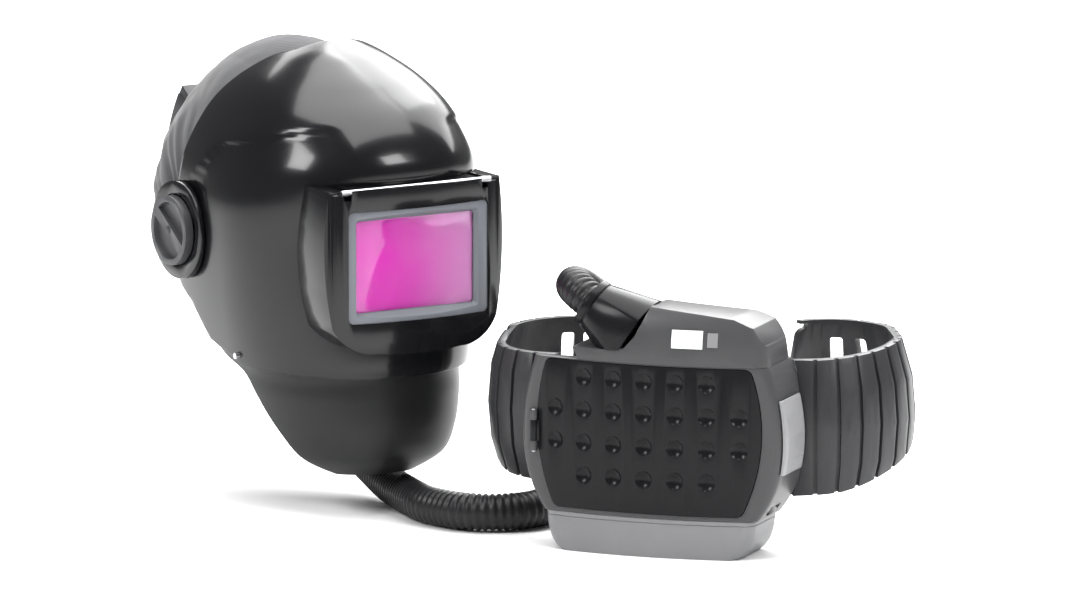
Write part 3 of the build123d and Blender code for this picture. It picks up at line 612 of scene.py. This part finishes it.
class RESPIRATOR_OT_hose(bpy.types.Operator):
    """Makes the corrugated breathing hose along its route"""

    bl_idname = "respirator.hose"
    bl_label = "Breathing hose"

    def execute(self, context):
        route = self.rounded_route([Vector(corner) for corner in HOSE_CORNERS])
        curve = bpy.data.curves.new("hose_route", "CURVE")
        curve.dimensions = "3D"
        spline = curve.splines.new("NURBS")
        spline.points.add(len(route) - 1)
        for point, place in zip(spline.points, route):
            point.co = (*place, 1)
        spline.order_u = 3
        spline.use_endpoint_u = True
        spline.resolution_u = 6
        guide = bpy.data.objects.new("hose_route", curve)
        context.scene.collection.objects.link(guide)
        context.view_layer.update()
        mesh = bpy.data.meshes.new_from_object(guide)
        path = [vertex.co.copy() for vertex in mesh.vertices]
        bpy.data.objects.remove(guide, do_unlink=True)
        bpy.data.meshes.remove(mesh)
        total = sum((b - a).length for a, b in zip(path, path[1:]))
        pitch = settings().rib_pitch
        count = int(total / (pitch / 4))
        rings, centres = [], self.spaced(path, count)
        side = Vector((0, 0, 1)).cross(centres[1] - centres[0]).normalized()
        for number, centre in enumerate(centres):
            ahead = centres[min(number + 1, count)] - centres[max(number - 1, 0)]
            ahead.normalize()
            side = (side - ahead * side.dot(ahead)).normalized()
            across = ahead.cross(side)
            wave = 0.5 - 0.5 * math.cos(2 * math.pi * (number * total / count) / pitch)
            radius = settings().hose_diameter / 2 - 0.0019 * wave ** 1.4
            rings.append([centre + radius * (side * math.cos(a) + across * math.sin(a))
                          for a in [2 * math.pi * part / 28 for part in range(28)]])
        hose = ring_band("breathing_hose_ribbed", rings)
        ends = [list(range(28))[::-1], list(range(28 * count, 28 * count + 28))]
        shape = bmesh.new()
        shape.from_mesh(hose.data)
        shape.verts.ensure_lookup_table()
        for end in ends:
            shape.faces.new([shape.verts[index] for index in end])
        shape.to_mesh(hose.data)
        shape.free()
        outward(hose)
        choose(hose)
        bpy.ops.object.shade_smooth_by_angle(angle=math.radians(60))
        rubber = finish("Hose rubber", (0.010, 0.010, 0.011), 0.38, grain=700, depth=0.05, spread=0.1)
        placed(hose, rubber, "harness", "breathing_hose", slot="hose_rubber")
        return {"FINISHED"}

    def rounded_route(self, corners):
        """The corners' path, each pair of neighbours rounded to one radius, as close points."""
        runs = [after - before for before, after in zip(corners, corners[1:])]
        turns = [0] + [one.angle(other) for one, other in zip(runs, runs[1:])] + [0]
        halves = [math.tan(turn / 2) for turn in turns]
        shares = [0.94 * run.length / (a + b) for run, a, b in zip(runs, halves, halves[1:])]
        points = [corners[0]]
        for index in range(1, len(corners) - 1):
            radius = min(shares[index - 1], shares[index])
            back, on = -runs[index - 1].normalized(), runs[index].normalized()
            reach = radius * halves[index]
            centre = corners[index] + (back + on).normalized() * math.hypot(reach, radius)
            arm = corners[index] + back * reach - centre
            axis = back.cross(on)
            steps = max(2, math.ceil(turns[index] * max(6, radius / 0.02)))
            points += [centre + Matrix.Rotation(-turns[index] * part / steps, 3, axis) @ arm
                       for part in range(steps + 1)]
        return points + [corners[-1]]

    def spaced(self, path, count):
        """The path again, as count equal steps."""
        lengths = [0.0]
        for a, b in zip(path, path[1:]):
            lengths.append(lengths[-1] + (b - a).length)
        found, index = [], 0
        for number in range(count + 1):
            want = lengths[-1] * number / count
            while index < len(path) - 2 and lengths[index + 1] < want:
                index += 1
            span = lengths[index + 1] - lengths[index]
            found.append(path[index].lerp(path[index + 1], (want - lengths[index]) / span))
        return found


class RESPIRATOR_OT_helmet(bpy.types.Operator):
    """Makes the helmet shell, the neck guard and the pivot bosses"""

    bl_idname = "respirator.helmet"
    bl_label = "Helmet shell"

    def execute(self, context):
        gloss = finish("Helmet gloss", settings().shell_colour, 0.2, grain=300, depth=0.004,
                       spread=0.1, coat=0.18, coat_rough=0.08)
        shell = thickened(skin("helmet_shell_skin", SHELL_FORM, 110, 220, self.relief), 3.0)
        cut(shell, side_prism("shell_region", smooth_outline(REAR_EDGE[:5]) + REAR_EDGE[5:]), "INTERSECT")
        window = block("window", (0, -0.16, -0.009), (0.136, 0.14, 0.098))
        cut(shell, window)
        bevelled(shell, 0.0008, 2, 40)
        into_helmet(shell)
        placed(shell, gloss, "helmet", "helmet_shell", slot="helmet_gloss")
        satin = finish("Guard satin", settings().guard_colour, 0.42, grain=800, depth=0.03, spread=0.1)
        guard = thickened(skin("neck_guard_skin", GUARD_FORM, 60, 200, closed_top=False), 3.5)
        cut(guard, side_prism("guard_region", smooth_outline(GUARD_EDGE)), "INTERSECT")
        bevelled(guard, 0.001, 2, 40)
        into_helmet(guard)
        placed(guard, satin, "helmet", "neck_guard", slot="guard_satin")
        for name in ("pivot_boss_right", "pivot_boss_left"):
            placed(dressed(name, edge=0.001), gloss, "helmet", name, slot="helmet_gloss")
        return {"FINISHED"}

    def relief(self, x, reach, height):
        """The side panel lies back below a crease that climbs from the ear to the brow."""
        crease = 30 + 50 * step((reach + 5) / 60) + 20 * step((reach - 50) / 110)
        below = crease - height
        side = step((abs(x) - 40) / 25)
        return 2.4 * step(below / 5) * (1 - step((below - 12) / 45)) * side


class RESPIRATOR_OT_visor(bpy.types.Operator):
    """Makes the flip-up visor with its darkening filter"""

    bl_idname = "respirator.visor"
    bl_label = "Visor"

    def execute(self, context):
        gloss = finish("Visor gloss", settings().shell_colour, 0.17, grain=300, depth=0.004,
                       spread=0.1, coat=0.2, coat_rough=0.06)
        placed(dressed("visor_frame", edge=0.0016, segments=3), gloss, "visor", "visor_frame",
               slot="visor_gloss")
        bezel = finish("Bezel grey", (0.16, 0.17, 0.19), 0.3, grain=900, depth=0.03, spread=0.08)
        placed(dressed("lens_bezel", edge=0.0005), bezel, "visor", "lens_bezel", slot="bezel_grey")
        # The filter's pale side is a painted reflection.
        lens = filter_finish("Filter glass", settings().filter_colour, settings().filter_painted_reflection)
        placed(dressed("darkening_filter", edge=0.0004), lens, "visor", "darkening_filter",
               slot="lens_magenta")
        clear = clear_finish("Clear plate")
        placed(dressed("outer_cover_plate", edge=0.0002), clear, "visor", "outer_cover_plate",
               slot="clear_plate")
        placed(dressed("grinding_visor", edge=0.0003), clear, "helmet", "grinding_visor",
               slot="clear_plate")
        dark = finish("Cassette plastic", (0.012, 0.012, 0.013), 0.5, grain=900, depth=0.05)
        for name in ("filter_cassette", "cassette_clips"):
            placed(dressed(name, edge=0.0006), dark, "visor", name, slot="cassette_black")
        return {"FINISHED"}


class RESPIRATOR_OT_headgear(bpy.types.Operator):
    """Makes the headgear, its knobs and the air duct"""

    bl_idname = "respirator.headgear"
    bl_label = "Headgear"

    def execute(self, context):
        plain = finish("Headgear black", (0.022, 0.022, 0.024), 0.45, grain=800, depth=0.05)
        for name in ("headband", "crown_strap_front", "crown_strap_rear", "pivot_arm_right",
                     "pivot_arm_left", "ratchet_housing", "air_duct"):
            placed(dressed(name, edge=0.0007), plain, "harness", name, slot="headgear_black")
        knobs = finish("Knob grey", (0.05, 0.05, 0.053), 0.36, grain=700, depth=0.05, spread=0.1)
        for name, body in (("tilt_knob_right", "knob_right"), ("tilt_knob_left", "knob_left"),
                           ("ratchet_knob", "ratchet")):
            placed(dressed(name, edge=0.0010, segments=3), knobs, body, name, slot="knob_grey")
        foam = cloth_finish("Sweatband", (0.04, 0.04, 0.044), 900)
        pad = placed(dressed("comfort_pad", edge=0.0025, segments=4), foam, "harness", "comfort_pad",
                     slot="pad_foam")
        return {"FINISHED"}


class RESPIRATOR_OT_head_cover(bpy.types.Operator):
    """Makes the gathered fabric head cover"""

    bl_idname = "respirator.head_cover"
    bl_label = "Head cover"

    def execute(self, context):
        rings = []
        for number in range(COVER_SWEEP + 1):
            angle = math.radians(COVER_START + number)
            ring = []
            for part in range(COVER_COLUMNS + 1):
                lean = math.radians(COVER_SPAN * (part / COVER_COLUMNS - 0.5))
                x, r = COVER_HALF_WIDTH * math.sin(lean), COVER_RADIUS * math.cos(lean)
                place = Vector((x, -r * math.cos(angle), r * math.sin(angle)))
                wide, high = COVER_HALF_WIDTH ** 2, COVER_RADIUS ** 2
                out = Vector((place.x / wide, place.y / high, place.z / high)).normalized()
                ring.append((place + out * self.fold(x, angle)) / 1000)
            rings.append(ring)
        cover = outward(ring_band("head_cover_cloth", rings, closed=False))
        middle = cover.data.polygons[len(cover.data.polygons) // 2]
        if middle.normal.dot(middle.center) < 0:
            cover.data.flip_normals()
        thickened(cover, COVER_THICKNESS)
        cut(cover, side_prism("hem", [(92, 175), (92, 128), (30, 60), (-10, 10), (-20, -30),
                                      (-175, -30), (-175, 175)], front=False), "INTERSECT")
        arc = [math.radians(DUCT_WAY_START + DUCT_WAY_SWEEP * part / 12) for part in range(13)]
        rows = zip(DUCT_WAY_RADII, (arc, arc[::-1]))
        way = [(r * math.cos(t), r * math.sin(t)) for r, row in rows for t in row]
        cut(cover, side_prism("duct_way", way, DUCT_WAY_HALF_WIDTH, front=False))
        choose(cover)
        bpy.ops.object.shade_smooth_by_angle(angle=math.radians(50))
        into_helmet(cover)
        cloth = cloth_finish("Head cover cloth", settings().fabric_colour)
        placed(cover, cloth, "harness", "head_cover", slot="cover_fabric")
        return {"FINISHED"}

    def fold(self, x, angle):
        """How far the cloth stands off its smooth form, in mm: puffed behind the shell, creased all over."""
        turned = math.degrees(angle)
        loose = step((turned - 112) / 36)
        puff = 5.5 * loose * step((abs(x) - 40) / 34) * (1 - step((turned - 172) / 22))
        slow = noise.noise(Vector((x / 30, angle * 2.6, 0.4)))
        quick = noise.noise(Vector((x / 13 + slow, angle * 7.5 - slow, 5.1)))
        gather = math.sin(angle * 34 + 3.5 * slow + x / 24) * step((abs(x) - 62) / 20)
        crease = (1 - abs(slow)) ** 4
        return puff - 0.6 + (0.25 + 0.75 * loose) * (2.2 * quick + 0.9 * gather - 2.4 * crease)


class RESPIRATOR_OT_blower(bpy.types.Operator):
    """Makes the blower's casing, its dimpled cover, hood, cuff and battery"""

    bl_idname = "respirator.blower"
    bl_label = "Blower"

    def execute(self, context):
        casing = finish("Casing grey", settings().housing_colour, 0.34, grain=1100, depth=0.06, spread=0.06)
        for name in ("front_housing", "rear_housing", "top_hood"):
            placed(dressed(name, edge=0.0016, segments=3), casing, "harness", name, slot="housing_grey")
        black = finish("Cover black", (0.008, 0.008, 0.009), 0.24, grain=1100, depth=0.05, spread=0.1,
                       specular=0.14)
        placed(dressed("filter_cover", edge=0.0010, segments=3), black, "cover", "filter_cover",
               slot="cover_black")
        placed(self.cuff(), black, "harness", "outlet_cuff", slot="cover_black")
        pale = finish("Battery grey", settings().battery_colour, 0.36, grain=1000, depth=0.06, spread=0.06)
        for name in ("battery_case", "battery_lid"):
            placed(dressed(name, edge=0.0009, segments=3), pale, "battery", name, slot="battery_grey")
        latch = finish("Latch grey", (0.26, 0.26, 0.265), 0.35, grain=1000, depth=0.05)
        placed(dressed("cover_latch", edge=0.0012, segments=3), latch, "latch", "cover_latch",
               slot="latch_grey")
        placed(dressed("battery_latch", edge=0.0010), black, "battery_catch", "battery_latch",
               slot="catch_black")
        return {"FINISHED"}

    def cuff(self):
        """The flared cuff, flattened in front and behind, with the hose's end in its collar."""
        base, rim = CUFF_BASE, CUFF_RIM
        along = (rim - base).normalized()
        cone = bar("outlet_cuff_body", base, rim - along * 0.0075, CUFF_BASE_RADIUS, 96, CUFF_COLLAR_RADIUS)
        cut(cone, bar("neck", rim - along * 0.0095, rim - along * 0.005, 0.0199, 96), "UNION")
        cut(cone, bar("collar", rim - along * 0.006, rim, CUFF_COLLAR_RADIUS, 96, 0.0205), "UNION")
        cut(cone, block("cheeks", (-0.06, -0.004, 0.2682), (0.16, 0.055, 0.2)), "INTERSECT")
        cut(cone, bar("mouth", rim - along * 0.012, rim + along * 0.01, CUFF_BORE, 64))
        bevelled(cone, 0.0012, 3, 40)
        return cone


class RESPIRATOR_OT_controls(bpy.types.Operator):
    """Makes the charge display and the power button"""

    bl_idname = "respirator.controls"
    bl_label = "Controls"

    def execute(self, context):
        white = finish("Display white", (0.80, 0.84, 0.82), 0.2, grain=400, depth=0.01, coat=0.5)
        placed(dressed("display_window", edge=0.0016, segments=4), white, "harness", "display_window",
               slot="display_white")
        rubber = finish("Button rubber", (0.20, 0.20, 0.205), 0.55, grain=900, depth=0.05)
        placed(dressed("power_button", edge=0.0012, segments=3), rubber, "button", "power_button",
               slot="button_grey")
        return {"FINISHED"}


class RESPIRATOR_OT_belt(bpy.types.Operator):
    """Makes the two stiff halves of the belt"""

    bl_idname = "respirator.belt"
    bl_label = "Belt"

    def execute(self, context):
        plain = finish("Belt grey", settings().belt_colour, 0.4, grain=900, depth=0.06, spread=0.1)
        for name in ("belt_left", "belt_right"):
            placed(dressed(name, edge=0.0009, segments=2), plain, "harness", name, slot="belt_grey")
        return {"FINISHED"}


class RESPIRATOR_OT_inside(bpy.types.Operator):
    """Gives the carried-over inner pieces their finishes"""

    bl_idname = "respirator.inside"
    bl_label = "Inner pieces"

    def execute(self, context):
        steel = finish("Bright steel", (0.52, 0.52, 0.53), 0.3, grain=1500, depth=0.08, metal=1.0)
        mesh_steel = finish("Arrestor steel", (0.40, 0.40, 0.41), 0.42, grain=2600, depth=0.3, metal=1.0)
        media = finish("Filter media", (0.78, 0.78, 0.74), 0.95, grain=600, depth=0.4, spread=0.04)
        fan = finish("Fan plastic", (0.06, 0.06, 0.065), 0.45, grain=900, depth=0.05)
        board = finish("Board green", (0.02, 0.12, 0.05), 0.4, grain=500, depth=0.08, spread=0.2)
        wrap = finish("Cell sleeve", (0.05, 0.10, 0.25), 0.3, grain=300, depth=0.03)
        for names, material in (
            (("guard_rivets", "visor_hinge_pin", "housing_screws", "fan_motor"), steel),
            (("spark_arrestor",), mesh_steel),
            (("particle_filter", "prefilter"), media),
            (("fan_scroll", "impeller"), fan),
            (("control_board",), board),
            (("battery_cells",), wrap),
        ):
            for name in names:
                carried = NODES[name]
                for slot in carried.material_slots:
                    slot.material = material
        return {"FINISHED"}


# ---------------------------------------------------------------- sidebar and registration
PIECES = (
    RESPIRATOR_OT_stage,
    RESPIRATOR_OT_hose,
    RESPIRATOR_OT_helmet,
    RESPIRATOR_OT_visor,
    RESPIRATOR_OT_headgear,
    RESPIRATOR_OT_head_cover,
    RESPIRATOR_OT_blower,
    RESPIRATOR_OT_controls,
    RESPIRATOR_OT_belt,
    RESPIRATOR_OT_inside,
)


class RESPIRATOR_PT_sidebar(bpy.types.Panel):
    """Lists the sizes, the colours and the groups of pieces"""

    bl_idname = "RESPIRATOR_PT_sidebar"
    bl_label = "Respirator"
    bl_space_type = "VIEW_3D"
    bl_region_type = "UI"
    bl_category = "Respirator"

    def draw(self, context):
        values = context.scene.respirator
        for name in RespiratorSettings.__annotations__:
            self.layout.prop(values, name)
        for piece in PIECES:
            self.layout.operator(piece.bl_idname)


CLASSES = (RespiratorSettings, *PIECES, RESPIRATOR_PT_sidebar)


def register():
    for kind in CLASSES:
        bpy.utils.register_class(kind)
    bpy.types.Scene.respirator = bpy.props.PointerProperty(type=RespiratorSettings)


def unregister():
    del bpy.types.Scene.respirator
    for kind in reversed(CLASSES):
        bpy.utils.unregister_class(kind)


def main():
    register()
    for piece in PIECES:
        group, action = piece.bl_idname.split(".")
        getattr(getattr(bpy.ops, group), action)()


if __name__ == "__main__":
    main()
